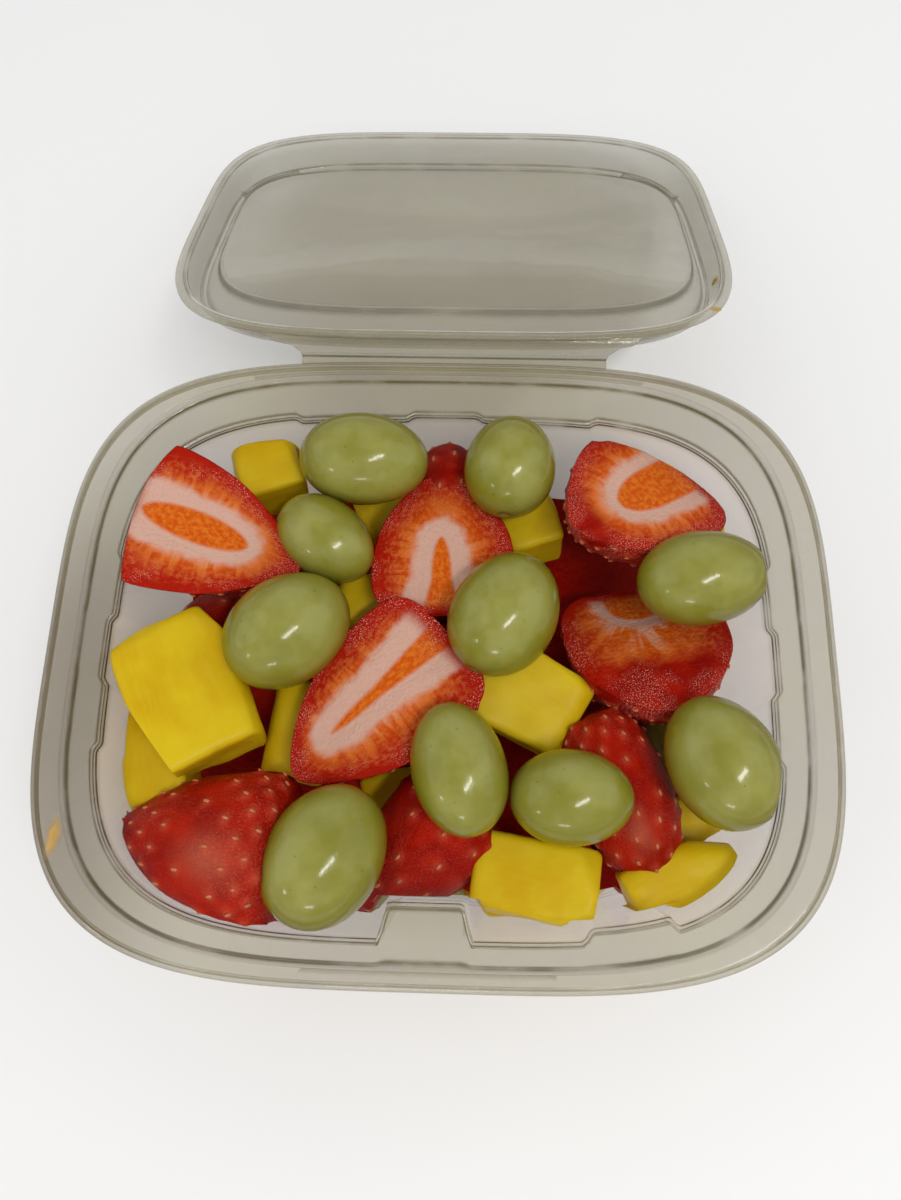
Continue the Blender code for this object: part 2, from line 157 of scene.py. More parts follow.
def finish(name, **sockets):
    """A new material with its Principled sockets set to plain values."""
    made = bpy.data.materials.new(name)
    made.use_nodes = True
    shader = made.node_tree.nodes["Principled BSDF"]
    for socket, value in sockets.items():
        shader.inputs[socket.replace("_", " ")].default_value = value
    return made, made.node_tree, shader


def bump(tree, shader, height, distance, strength=1.0):
    """Raise the surface's shading by height times distance in metres."""
    made = node(tree, "Bump")
    made.inputs["Strength"].default_value = strength
    made.inputs["Distance"].default_value = distance
    tree.links.new(height, made.inputs["Height"])
    tree.links.new(made.outputs["Normal"], shader.inputs["Normal"])
    return made


print("node helpers ready")

# %% [markdown]
# ## Two effects that several fruits share
# Cut fruit is never one flat colour: it has soft patches, and a wet grain that breaks up the shine.
# The grain's mask also marks tiny spots where a fruit paints glints: a painted highlight.
# Each effect is a node group with named inputs, so every fruit can use it with its own values.

# %% Shared node groups
def effect_group(name, inputs, outputs):
    """An empty node group with named float or vector inputs and outputs."""
    group = bpy.data.node_groups.new(name, "ShaderNodeTree")
    for label, kind, value in inputs:
        socket = group.interface.new_socket(label, in_out="INPUT", socket_type="NodeSocket" + kind)
        if kind == "Float":
            socket.default_value = value
    for label, kind in outputs:
        group.interface.new_socket(label, in_out="OUTPUT", socket_type="NodeSocket" + kind)
    return group, group.nodes.new("NodeGroupInput"), group.nodes.new("NodeGroupOutput")


patches, given, result = effect_group(
    "Soft patches",
    (("Place", "Vector", None), ("Scale", "Float", 1.0), ("Softness", "Float", 0.1)),
    (("Mask", "Float"),))
cloud = noise(patches, given.outputs["Place"], given.outputs["Scale"], 3.0, 0.55)
low = calc(patches, "SUBTRACT", 0.5, given.outputs["Softness"])
high = calc(patches, "ADD", 0.5, given.outputs["Softness"])
feed(patches, result.inputs["Mask"], ramp(patches, cloud, low, high))

grain, given, result = effect_group(
    "Wet grain",
    (("Place", "Vector", None), ("Scale", "Float", 1.0), ("Glints", "Float", 0.5)),
    (("Height", "Float"), ("Mask", "Float")))
cells = node(grain, "TexVoronoi", feature="SMOOTH_F1")
feed(grain, cells.inputs["Vector"], given.outputs["Place"])
feed(grain, cells.inputs["Scale"], given.outputs["Scale"])
cells.inputs["Smoothness"].default_value = 0.6
fine = noise(grain, given.outputs["Place"], times(grain, given.outputs["Scale"], 2.3), 2.0)
feed(grain, result.inputs["Height"], calc(grain, "SUBTRACT", fine, cells.outputs["Distance"]))
# Painted highlight: this mask picks the tiny spots that a fruit paints as glints.
sparkle = ramp(grain, fine, 0.57, 0.65)
feed(grain, result.inputs["Mask"], times(grain, sparkle, given.outputs["Glints"]))


def use_group(tree, group, **inputs):
    """Place a shared effect in a material with its own values."""
    made = node(tree, "Group", node_tree=group)
    for label, value in inputs.items():
        feed(tree, made.inputs[label], value)
    return made


print("shared effects:", patches.name, "and", grain.name)

# %% [markdown]
# ## From numbers to meshes
# A surface is a grid of points. Its faces join each point to its neighbours. A closed form, such as
# a grape, is a stack of rings with one point at each end, so the poles are closed by fans.

# %% Mesh helpers
def grid_faces(rows, columns, looped=True):
    """Corner numbers of the quads between the rows of a grid, looped round or open."""
    i = np.arange(rows - 1)[:, None] * columns
    j = np.arange(columns if looped else columns - 1)[None, :]
    k = (j + 1) % columns
    quads = np.stack((i + j, i + k, i + columns + k, i + columns + j), axis=-1)
    return quads.reshape(-1, 4)


def build(name, points, faces, finish_used, body="tub", own=None, **values):
    """Put points in mm and their faces into a mesh, with vector and number attributes."""
    mesh = bpy.data.meshes.new(name)
    mesh.from_pydata((points.reshape(-1, 3) * MM).tolist(), [], [list(face) for face in faces])
    mesh.shade_smooth()
    if own is not None:
        store = mesh.attributes.new("own", "FLOAT_VECTOR", "POINT")
        store.data.foreach_set("vector", np.ascontiguousarray(own, np.float32).ravel())
    for label, numbers in values.items():
        store = mesh.attributes.new(label, "FLOAT", "POINT")
        full = np.broadcast_to(np.asarray(numbers, np.float32), len(mesh.vertices))
        store.data.foreach_set("value", np.ascontiguousarray(full))
    mesh.materials.append(finish_used)
    made = bpy.data.objects.new(name, mesh)
    bpy.context.scene.collection.objects.link(made)
    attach(made, body)
    return made


def capped(rings):
    """Rings of points plus one point at each end, and the faces of the closed form."""
    count, around = rings.shape[:2]
    first, last = rings[0].mean(0), rings[-1].mean(0)
    points = np.vstack((rings.reshape(-1, 3), first, last))
    faces = grid_faces(count, around).tolist()
    start, end = count * around, count * around + 1
    j = np.arange(around)
    k = (j + 1) % around
    faces += np.stack((np.full(around, start), k, j), -1).tolist()
    base = (count - 1) * around
    faces += np.stack((np.full(around, end), base + j, base + k), -1).tolist()
    return points, faces


def ripple(points, seed, wave, waves=7):
    """Smooth lumps between -1 and 1: the mean of sines along random directions, wave mm apart."""
    draw = np.random.default_rng(seed)
    directions = draw.normal(size=(waves, 3))
    directions /= np.linalg.norm(directions, axis=1)[:, None]
    phases = draw.uniform(0, 2 * math.pi, waves)
    lengths = wave * draw.uniform(0.7, 1.4, waves)
    return np.sin(points @ directions.T * (2 * math.pi / lengths) + phases).mean(-1)


print("mesh helpers ready")

# %% [markdown]
# ## The pressed plastic
# The tub and its lid are pressed from one thin clear sheet. Going from the rim to the floor, the
# sheet is a row of levels: half width, half depth, centre, height, and how much of the wall's
# pressed steps each level takes. The corners between levels are softened by short curves, and a
# last number says how dark a line is painted along each corner: a painted shade standing in for the
# light that the fold bends aside.

# %% Levels of the tub and the lid
HEIGHT = 64.0
TUB_POWER = 3.8
LID_POWER = 4.1
STEP_SLOPE = 2.2
WALL_STEPS = {
    "front": ((-9.5, 7.5, 7.0), (31.0, 48.0, 2.4)),
    "back": ((8.0, 34.0, 1.2), (-34.0, -8.0, 1.2)),
    "side": ((7.0, 21.0, 1.2), (-21.0, -7.0, 1.2)),
}
CAVITY = np.array([
    (71.2, 56.8, -2.0, 61.2, 1.0, 1.0),
    (68.8, 54.6, -1.6, 32.0, 0.6, 0.0),
    (66.5, 52.5, -1.0, 5.0, 0.15, 0.3),
    (64.2, 50.2, -1.0, 1.8, 0.1, 0.3),
    (60.2, 46.2, -1.0, 0.8, 0.05, 0.0),
])
RIM = np.array([
    (84.0, 68.25, 0.0, 60.6, 0.0, 0.3),
    (84.0, 68.25, 0.0, 63.1, 0.0, 0.25),
    (82.7, 66.95, 0.0, 64.0, 0.0, 0.5),
    (77.6, 64.15, 0.2, 64.0, 0.0, 0.15),
    (76.9, 63.45, 0.2, 62.4, 0.0, 0.8),
    (72.0, 57.6, -2.0, 62.4, 1.0, 0.6),
])
DOME = np.array([
    (73.6, 62.3, 0.2, 62.8, 0.0, 0.3),
    (71.6, 59.65, -0.25, 62.8, 0.0, 0.5),
    (71.0, 59.1, -0.25, 63.4, 0.0, 0.6),
    (69.8, 55.15, -3.15, 71.6, 0.0, 0.5),
    (69.0, 54.35, -3.15, 72.4, 0.0, 0.3),
    (68.2, 43.85, -12.85, 72.4, 0.0, 0.7),
    (67.2, 42.6, -13.1, 73.9, 0.0, 0.5),
])


def wall_push(u, v, x, y, spread=0.0):
    """How far the wall is pressed in: the sum over steps of depth times a soft step along the wall."""
    push = np.zeros_like(x)
    for side, steps in WALL_STEPS.items():
        if side == "side":
            here, along = np.abs(v) <= np.abs(u), y
        else:
            here, along = (np.abs(v) > np.abs(u)) & ((v > 0) == (side == "back")), x
        for start, end, depth in steps:
            inside = (np.minimum(along - start, end - along) + spread) / STEP_SLOPE + 0.5
            t = np.clip(inside, 0, 1)
            push = push + here * depth * t * t * (3 - 2 * t)
    return push


def soften(levels, radius, steps=9):
    """Replace each inner corner P by a curve (1-t)^2 A + 2t(1-t) P + t^2 B between points near it.

    The last number becomes the corner's own times 4t(1-t) to the eighth: the line is dark in its
    middle."""
    rows = [levels[0]]
    for before, corner, after in zip(levels, levels[1:], levels[2:]):
        reach = []
        for other in (before, after):
            length = math.hypot(other[0] - corner[0], other[3] - corner[3])
            reach.append(corner + (other - corner) * min(radius / length, 0.45))
        for t in np.linspace(0, 1, steps):
            row = (1 - t) ** 2 * reach[0] + 2 * t * (1 - t) * corner + t * t * reach[1]
            row[5] = corner[5] * (4 * t * (1 - t)) ** 8
            rows.append(row)
    rows.append(levels[-1])
    rows[0][5] = rows[-1][5] = 0.0
    return np.array(rows)


def refine(levels, longest):
    """Add levels between two that are more than longest mm apart."""
    rows = [levels[0]]
    for before, after in zip(levels, levels[1:]):
        length = math.hypot(after[0] - before[0], after[3] - before[3])
        parts = max(1, math.ceil(length / longest))
        rows += [before + (after - before) * k / parts for k in range(1, parts + 1)]
    return np.array(rows)


def rounded_outline(power, count):
    """Evenly spaced points of |u|^p + |v|^p = 1, from the polar form r = (|cos|^p + |sin|^p)^(-1/p)."""
    angle = np.linspace(0, 2 * math.pi, 20001)
    reach = (np.abs(np.cos(angle)) ** power + np.abs(np.sin(angle)) ** power) ** (-1 / power)
    dense = np.stack((reach * np.cos(angle), reach * np.sin(angle)), -1)
    walked = np.concatenate(([0], np.cumsum(np.linalg.norm(np.diff(dense, axis=0), axis=1))))
    stops = np.linspace(0, walked[-1], count, endpoint=False)
    return np.stack([np.interp(stops, walked, dense[:, k]) for k in range(2)], -1)


def pressed_sheet(levels, outline):
    """Points (level, place round the outline): (u * half x, v * half y + centre, height), pressed in."""
    u, v = outline[:, 0][None, :], outline[:, 1][None, :]
    x = u * levels[:, 0:1]
    y = v * levels[:, 1:2]
    push = levels[:, 4:5] * wall_push(u + 0 * x, v + 0 * x, x, y)
    long_side = np.abs(v) > np.abs(u)
    y = np.where(long_side, y - np.sign(y) * push, y)
    x = np.where(long_side, x, x - np.sign(x) * push)
    return np.stack((x, y + levels[:, 2:3], np.broadcast_to(levels[:, 3:4], x.shape)), -1)


def closed_floor(points):
    """Faces of a sheet whose last ring is closed by a fan to its middle."""
    rows, columns = points.shape[:2]
    flat = np.vstack((points.reshape(-1, 3), points[-1].mean(0)))
    base, middle = (rows - 1) * columns, rows * columns
    j = np.arange(columns)
    fan = np.stack((base + j, base + (j + 1) % columns, np.full(columns, middle)), -1)
    return flat, grid_faces(rows, columns).tolist() + fan.tolist()


print("levels:", len(RIM) + len(CAVITY), "for the tub,", len(DOME), "for the lid")

# %% [markdown]
# ## Clear plastic
# Thin clear plastic shows itself by what it does at its edges: it is nearly invisible seen straight
# on, darker and shinier where it turns away. Layer Weight gives that turn, and drives the alpha.
# Where the sheet folds sharply, light is bent aside and a thin brown line shows: the crease
# attribute holds those lines, which are painted dark into colour and alpha, a painted shade, broken
# up a little so that they don't look drawn. Along the hinge the same folds are painted near white, a
# painted highlight. The inside wall is painted lighter and warmer: painted bounce light from the
# fruit that lifts the shade there, with a tint of juice. The lid's sheet is painted lighter than the
# tub's, a painted light, and the left side of the sheet darker brown, a painted shade.

# %% Plastic finish
plastic, tree, shader = finish("clear_plastic", Roughness=0.09, IOR=1.5)
place = node(tree, "TexCoord").outputs["Object"]
facing = node(tree, "LayerWeight")
facing.inputs["Blend"].default_value = 0.35
haze = use_group(tree, patches, Place=place, Scale=32.0, Softness=0.2)
# Painted shade: crease lines are painted dark into colour and alpha, for the light bent aside at folds.
crease = attribute(tree, "crease", "Fac")
broken = ramp(tree, noise(tree, place, 90.0, 3.0), 0.30, 0.55, 0.45, 1.0)
line = times(tree, crease, broken, clamp=True)
clouded = ramp(tree, facing.outputs["Facing"], 0.05, 0.95, 0.32, 0.56)
alpha = calc(tree, "ADD", clouded, times(tree, haze.outputs[0], 0.05))
where = node(tree, "SeparateXYZ")
feed(tree, where.inputs[0], place)
along_x, along_y, along_z = where.outputs
in_wall = times(tree, ramp(tree, along_z, 0.0615, 0.0585), ramp(tree, along_y, 0.0700, 0.0690))
alpha = times(tree, alpha, calc(tree, "SUBTRACT", 1.0, times(tree, in_wall, 0.50)))
alpha = calc(tree, "ADD", alpha, times(tree, line, 0.75))
sheet_colour = tint(tree, haze.outputs[0], (0.25, 0.195, 0.075), (0.35, 0.300, 0.145))
in_lid = ramp(tree, along_y, 0.0690, 0.0700)
# Painted light: the lid's sheet is painted lighter than the tub's, though both are one plastic.
sheet_colour = tint(tree, times(tree, in_lid, 0.45), sheet_colour, (0.46, 0.440, 0.355))
# Painted shade: the left side of the sheet is painted darker brown and a little less clear.
left_side = times(tree, ramp(tree, along_x, -0.045, -0.078), ramp(tree, along_y, 0.045, 0.0))
sheet_colour = tint(tree, times(tree, left_side, 0.85), sheet_colour, (0.155, 0.105, 0.035))
alpha = calc(tree, "ADD", alpha, times(tree, left_side, 0.15), clamp=True)
# Painted light: the inside wall is painted lighter and warmer, bounce light from the fruit lifting its
# shade, with a tint of juice.
sheet_colour = tint(tree, times(tree, in_wall, 0.9), sheet_colour, (0.62, 0.47, 0.27))
feed(tree, shader.inputs["Alpha"], alpha)
# Painted highlight: on the lid near the hinge, the crease lines are painted near white.
shine = times(tree, in_lid, ramp(tree, along_y, 0.094, 0.090))
line_colour = tint(tree, shine, (0.030, 0.023, 0.012), (0.95, 0.95, 0.93))
feed(tree, shader.inputs["Base Color"], tint(tree, line, sheet_colour, line_colour))
waves = noise(tree, place, 55.0, 2.0)
bump(tree, shader, waves, 0.0012, 0.3)
print("plastic finish ready")

# %% [markdown]
# ## The tub
# One pressed sheet. Solidify gives it the thickness of the real plastic.

# %% Tub
def give_thickness(piece, thickness, inwards):
    """Solidify a sheet; a sheet whose last face looks up is thickened below it."""
    sheet = piece.modifiers.new("sheet", "SOLIDIFY")
    sheet.thickness = thickness * MM
    sheet.offset = inwards
    sheet.use_even_offset = True
    return piece


def lines_of(rows, columns):
    """The crease value of each point: that of its level, and none in the middle of the floor."""
    return np.append(np.repeat(rows[:, 5], columns), 0.0)


TUB_COLUMNS = 520
TUB_SHEET, LID_SHEET, STRIP_SHEET, FOLD_SHEET = 0.8, 0.7, 0.6, 0.5
tub_levels = refine(soften(np.vstack((RIM, CAVITY)), 0.8), 4.0)
points, faces = closed_floor(pressed_sheet(tub_levels, rounded_outline(TUB_POWER, TUB_COLUMNS)))
tub_shell = build("tub_shell", points, faces, plastic, crease=lines_of(tub_levels, TUB_COLUMNS))
give_thickness(tub_shell, TUB_SHEET, -1.0)
if tub_shell.data.polygons[-1].normal.z < 0:
    tub_shell.modifiers["sheet"].offset = 1.0
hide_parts("tub")
print("tub faces:", len(faces))

# %% [markdown]
# ## The lid
# The lid is worked out shut, which is how it was designed, and then folded back about the hinge
# line behind the rim. A turn by an angle a about that line sends (y, z) to
# (y cos a - z sin a, y sin a + z cos a), both measured from the line.

# %% Lid
HINGE = np.array((0.0, 69.15, HEIGHT))
OPEN_ANGLE = math.radians(-205.6)


def fold_back(points):
    """Turn points of the shut lid about the hinge line to where the lid rests."""
    c, s = math.cos(OPEN_ANGLE), math.sin(OPEN_ANGLE)
    turn = np.array(((1, 0, 0), (0, c, -s), (0, s, c)))
    return (points - HINGE) @ turn.T + HINGE


lid_levels = refine(soften(DOME, 0.9), 4.0)
LID_COLUMNS = 560
points, faces = closed_floor(pressed_sheet(lid_levels, rounded_outline(LID_POWER, LID_COLUMNS)))
lid_shell = build("lid_shell", fold_back(points), faces, plastic, "lid",
                  crease=lines_of(lid_levels, LID_COLUMNS))
upwards = lid_shell.data.polygons[-1].normal.z > 0
give_thickness(lid_shell, LID_SHEET, -1.0 if upwards else 1.0)
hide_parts("lid")


STRIP_END, STRIP_START = 69.15, 57.3
STRIP_RIGHT = 37.0
STRIP_EDGE = np.array([(57.3, -54.0), (58.05, -52.0), (58.97, -45.0), (61.45, -37.5), (65.0, -35.0),
                       (69.15, -34.0)])
STRIP_RISE = np.array([(57.0, -0.85), (60.8, -0.85), (61.7, 0.62), (67.3, 0.62), (69.15, 0.0)])


def strip_surface():
    """The hinge strip: rows from the flange to the hinge line, widening in a curve along the flange."""
    row = np.linspace(0, 1, 48)[:, None]
    across = np.linspace(0, 1, 90)[None, :]
    y = STRIP_START + (STRIP_END - STRIP_START) * row
    left = np.interp(y, *STRIP_EDGE.T)
    right = STRIP_RIGHT - 1.05 * (left + 34.0)
    x = left + (right - left) * across
    across_lid = np.clip(np.abs(x) / DOME[0, 0], 0, 0.99)
    flange = DOME[0, 1] * (1 - across_lid ** LID_POWER) ** (1 / LID_POWER) - 1.0
    y = STRIP_END - (STRIP_END - y) * (STRIP_END - flange) / (STRIP_END - STRIP_START)
    z = HEIGHT + np.interp(y, *STRIP_RISE.T)
    return np.stack((x, y, z), -1)


strip = strip_surface()
hinge_strip = build("hinge_strip", fold_back(strip.reshape(-1, 3)), grid_faces(*strip.shape[:2], False),
                    plastic, "lid",
                    crease=np.exp(-((strip[..., 1].ravel() - STRIP_END) / 0.5) ** 2) * 0.8)
give_thickness(hinge_strip, STRIP_SHEET, 0.0)

x = np.linspace(STRIP_EDGE[-1, 1], STRIP_RIGHT, 90)
rim_back = RIM[0, 1] * (1 - np.abs(x / RIM[0, 0]) ** TUB_POWER) ** (1 / TUB_POWER) - 0.5
fold_y = rim_back + (STRIP_END - rim_back) * np.linspace(0, 1, 8)[:, None]
fold = np.stack((x + 0 * fold_y, fold_y, HEIGHT - 0.4 + 0.1 * fold_y / STRIP_END), -1)
hinge_fold = build("hinge_fold", fold.reshape(-1, 3), grid_faces(*fold.shape[:2], False), plastic,
                   crease=np.repeat((0.0, 0.3), (7 * x.size, x.size)))
give_thickness(hinge_fold, FOLD_SHEET, 0.0)
print("lid faces:", len(faces))

# %% [markdown]
# ## Room for the fruit
# A piece that touches the wall is flattened against it, as soft fruit is. At each height the room
# is a rounded rectangle; a point outside it is drawn back along the line to the middle.

# %% Press fruit against the wall
PRESS_GAP = 0.9
PRESS_SPREAD = 3.5
SHELF_RISE = 8.4
PANEL_BACK = 29.0
PANEL_RISE = 1.5
levels = np.vstack((DOME[2:5], CAVITY))
levels[:3, 4] = 0.0
levels = levels[np.argsort(levels[:, 3])]


def press_in(points):
    """Clamp height between floor and lid, then divide by (|x/a|^p + |y/b|^p)^(1/p) where it passes 1."""
    x, y, z = points.T
    z = np.minimum(z, HEIGHT + SHELF_RISE - PRESS_GAP + np.where(y < PANEL_BACK, PANEL_RISE, 0.0))
    z = np.maximum(z, TUB_SHEET + PRESS_GAP)
    half_x, half_y, centre, share = (np.interp(z, levels[:, 3], levels[:, k]) for k in (0, 1, 2, 4))
    u, v = x / half_x, (y - centre) / half_y
    push = PRESS_GAP + share * wall_push(u, v, x, y, PRESS_SPREAD)
    long_side = np.abs(v) > np.abs(u)
    limit_x = half_x - np.where(long_side, PRESS_GAP, push)
    limit_y = half_y - np.where(long_side, push, PRESS_GAP)
    over = np.abs(x / limit_x) ** TUB_POWER + np.abs((y - centre) / limit_y) ** TUB_POWER
    over = np.maximum(over ** (1 / TUB_POWER), 1)
    return np.stack((x / over, centre + (y - centre) / over, z), -1)


def set_down(points, x, y, over_rim, heading, pitch=0.0, roll=0.0):
    """Turn by roll, pitch and heading in degrees, and move into the heap."""
    turn = np.array(Euler([math.radians(a) for a in (roll, pitch, heading)], "XYZ").to_matrix())
    return press_in(points @ turn.T + (x, y, HEIGHT + over_rim))


print("room at the rim:", levels[-4, :2])

# %% [markdown]
# ## Grapes
# A grape is an egg of revolution: its radius at angle a along the length is W sin a, a little wider
# at the blossom end, with low lumps. Its skin is waxy and the flesh lets light through, so the
# finish has subsurface light and a pale bloom. Its edges are painted darker and yellower where they
# turn from the camera: a painted shade.

# %% Grape finish
grape_skin, tree, shader = finish("grape_skin", Roughness=0.20, IOR=1.42, Subsurface_Weight=0.30,
                                  Subsurface_Scale=0.005, Specular_IOR_Level=0.35, Coat_Weight=0.25,
                                  Coat_Roughness=0.05)
shader.inputs["Subsurface Radius"].default_value = (0.9, 1.0, 0.25)
own = attribute(tree, "own")
cloudy = use_group(tree, patches, Place=own, Scale=0.10, Softness=0.18)
speck = node(tree, "TexVoronoi")
feed(tree, speck.inputs["Vector"], own)
speck.inputs["Scale"].default_value = 0.30
pores = ramp(tree, speck.outputs["Distance"], 0.05, 0.10, 1.0, 0.0)
turn_away = node(tree, "LayerWeight")
turn_away.inputs["Blend"].default_value = 0.3
edge = ramp(tree, turn_away.outputs["Facing"], 0.05, 0.62)
flesh = tint(tree, cloudy.outputs[0], (0.225, 0.217, 0.022), (0.300, 0.292, 0.064))
# Painted shade: edges turned from the camera are painted darker and yellower.
flesh = tint(tree, times(tree, edge, 0.9), flesh, (0.170, 0.145, 0.003))
flesh = tint(tree, times(tree, pores, 0.45), flesh, (0.10, 0.085, 0.015))
scar = attribute(tree, "scar", "Fac")
flesh = tint(tree, times(tree, scar, 0.75), flesh, (0.16, 0.13, 0.03))
feed(tree, shader.inputs["Base Color"], flesh)
bump(tree, shader, use_group(tree, grain, Place=own, Scale=0.6, Glints=0.0).outputs["Height"], 0.00006, 0.4)
print("grape finish ready")

# %% Grapes
GRAPES = [
    (-18.4, 44.0, -2.8, 14.8, 10.5, -2, 1),
    (15.0, 43.0, -3.4, 12.0, 10.4, 84, -1),
    (-26.6, 25.6, -6.0, 12.3, 9.1, -37, -1),
    (-32.8, 3.3, -2.6, 14.6, 11.6, 38, -1),
    (14.0, 7.9, -2.4, 14.2, 11.5, 63, -1),
    (57.2, 17.0, -2.6, 14.4, 10.4, 8, 1),
    (5.0, -25.4, -2.4, 14.0, 9.9, 105, 1),
    (28.2, -30.6, -3.6, 12.8, 9.8, 0, -1),
    (59.2, -22.8, -2.8, 14.4, 11.3, 117, 1),
    (-21.8, -43.4, -2.9, 15.0, 12.0, 60, 1),
]


def egg(half_length, half_width, seed, scar_end=1, rings=72, around=96):
    """x = L cos a, radius = W sin a (1 - 0.04 cos a), plus lumps, with a small dip at the stem end."""
    a = np.linspace(0, math.pi, rings + 2)[1:-1, None]
    b = np.linspace(0, 2 * math.pi, around, endpoint=False)[None, :]
    x = np.cos(a) + 0 * b
    radius = np.sin(a) * (1 - 0.04 * np.cos(a))
    unit = np.stack((x * half_length, radius * np.cos(b) * half_width,
                     radius * np.sin(b) * half_width), -1)
    swell = 1 + 0.012 * ripple(unit, seed, 26.0)
    end = np.clip(1 - np.arccos(np.clip(scar_end * x, -1, 1)) / 0.19, 0, 1)
    rings_out = unit * swell[..., None]
    rings_out[..., 0] -= scar_end * 1.1 * end ** 2
    points, faces = capped(rings_out[:, ::-1])
    scar = np.concatenate((end.ravel(), [float(scar_end > 0), float(scar_end < 0)]))
    return points, faces, scar


for number, (x, y, z, length, width, heading, scar_end) in enumerate(GRAPES, 1):
    points, faces, scar = egg(length, width, number, scar_end)
    grape = build(f"green_grape_{number:02d}", set_down(points, x, y, z, heading), faces, grape_skin,
                  own=points + number * 50, scar=scar)
    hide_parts(f"grape_{number:02d}")
print("grapes:", len(GRAPES))

# %% [markdown]
# ## Strawberry halves
# Half a strawberry is a turned profile cut in two. Measured from -1 at the crown to 1 at the tip,
# the profile is |s|^5 + r^5 = 1 behind the middle, which gives the straight crown cut, and
# s^2 + r^2 = 1 in front. It is narrowed towards the tip by k = 1 - n s - 0.2 s^2.
# The cut face is painted by three measures in mm, worked out here and kept as attributes: how far
# a point is from the edge of the core, how far it is from the skin, and how far along the core's
# edge its nearest point lies. Pale veins run straight out from the core, so they are noise along
# that last measure.

# %% Strawberry finish
berry_flesh, tree, shader = finish("strawberry_flesh", Roughness=0.34, IOR=1.4, Specular_IOR_Level=0.08)
own = attribute(tree, "own")
core_gap, skin_gap, along_core = (attribute(tree, name, "Fac")
                                  for name in ("core_gap", "skin_gap", "along_core"))
band = attribute(tree, "band", "Fac")
on_skin = attribute(tree, "skin", "Fac")
mottle = noise(tree, own, 14.0, 3.0, 0.6)
ragged = times(tree, calc(tree, "SUBTRACT", noise(tree, own, 5.0, 3.0), 0.5), 3.2)
veins = node(tree, "CombineXYZ")
feed(tree, veins.inputs[0], times(tree, along_core, 0.62))
feed(tree, veins.inputs[1], times(tree, core_gap, 0.09))
streak = ramp(tree, noise(tree, veins.outputs[0], 1.0, 2.0, 0.5, 0.25), 0.40, 0.60)
whole = calc(tree, "ADD", calc(tree, "MAXIMUM", core_gap, 0.0), skin_gap)
outwards = calc(tree, "DIVIDE", calc(tree, "MAXIMUM", core_gap, 0.0), calc(tree, "MAXIMUM", whole, 0.5))
flesh = tint(tree, ramp(tree, outwards, 0.20, 0.75), (0.66, 0.110, 0.004), (0.42, 0.008, 0.001))
flesh = tint(tree, times(tree, ramp(tree, mottle, 0.45, 0.62), 0.35), flesh, (0.74, 0.21, 0.045))
middle = tint(tree, ramp(tree, mottle, 0.40, 0.62), (0.62, 0.085, 0.003), (0.72, 0.175, 0.012))
flesh = tint(tree, ramp(tree, core_gap, -0.2, -1.0), flesh, middle)
ring = calc(tree, "ADD", core_gap, ragged)
pale = times(tree, ramp(tree, core_gap, -0.9, 0.3),
             ramp(tree, calc(tree, "SUBTRACT", ring, band), 1.2, -1.2))
rays = times(tree, streak, ramp(tree, core_gap, -0.5, 0.5))
orange_rays = times(tree, rays, ramp(tree, outwards, 0.85, 0.35, 0.0, 0.75))
flesh = tint(tree, orange_rays, flesh, (0.74, 0.190, 0.030))
pale_rays = times(tree, rays, ramp(tree, outwards, 0.48, 0.15, 0.0, 0.75))
pale = calc(tree, "MAXIMUM", times(tree, pale, 0.97), pale_rays, clamp=True)
flesh = tint(tree, pale, flesh, (0.66, 0.40, 0.31))
flesh = tint(tree, ramp(tree, skin_gap, 3.6, 0.8), flesh, (0.40, 0.009, 0.001))
pit = attribute(tree, "pit", "Fac")
blush = attribute(tree, "blush", "Fac")
skin = tint(tree, use_group(tree, patches, Place=own, Scale=2.2, Softness=0.16).outputs[0],
            (0.29, 0.003, 0.000), (0.42, 0.010, 0.001))
# A pinker, lighter patch on the skin of two halves.
skin = tint(tree, times(tree, blush, 0.45), skin, (0.52, 0.15, 0.08))
# Painted highlight: the bumps round the seeds are painted lighter and pinker.
skin = tint(tree, times(tree, pit, 0.55), skin, (0.58, 0.09, 0.040))
wet = use_group(tree, patches, Place=own, Scale=1.6, Softness=0.07)
grainy = use_group(tree, grain, Place=own, Scale=26.0, Glints=1.0)
colour = tint(tree, on_skin, flesh, skin)
near_skin = calc(tree, "MAXIMUM", on_skin, ramp(tree, skin_gap, 6.5, 1.5))
wet_glint_area = times(tree, near_skin, times(tree, wet.outputs[0], attribute(tree, "sparkle", "Fac")))
# Painted highlight: tiny spots near the skin, in wet patches, are painted pale pink as glints.
glint = times(tree, grainy.outputs["Mask"], wet_glint_area)
colour = tint(tree, times(tree, glint, 0.85), colour, (0.85, 0.46, 0.36))
feed(tree, shader.inputs["Base Color"], colour)
bump(tree, shader, grainy.outputs["Height"], 0.0004, 0.8)

seed_coat, tree, shader = finish("strawberry_seed", Roughness=0.35, Coat_Weight=0.3)
feed(tree, shader.inputs["Base Color"],
     tint(tree, noise(tree, node(tree, "TexCoord").outputs["Object"], 400.0),
          (0.36, 0.060, 0.015), (0.56, 0.170, 0.055)))
print("strawberry finishes ready")

# %% [markdown]
# Each half has its own core, read off the photograph: where its edge starts to close and where it
# ends towards the tip, its half width, how much it widens towards the crown, its shift to one side,
# how wide the pale band round it is, and whether it is closed at the crown. Two halves show dark skin
# on the tip side of the cut, from the place that TIP_SKIN gives.

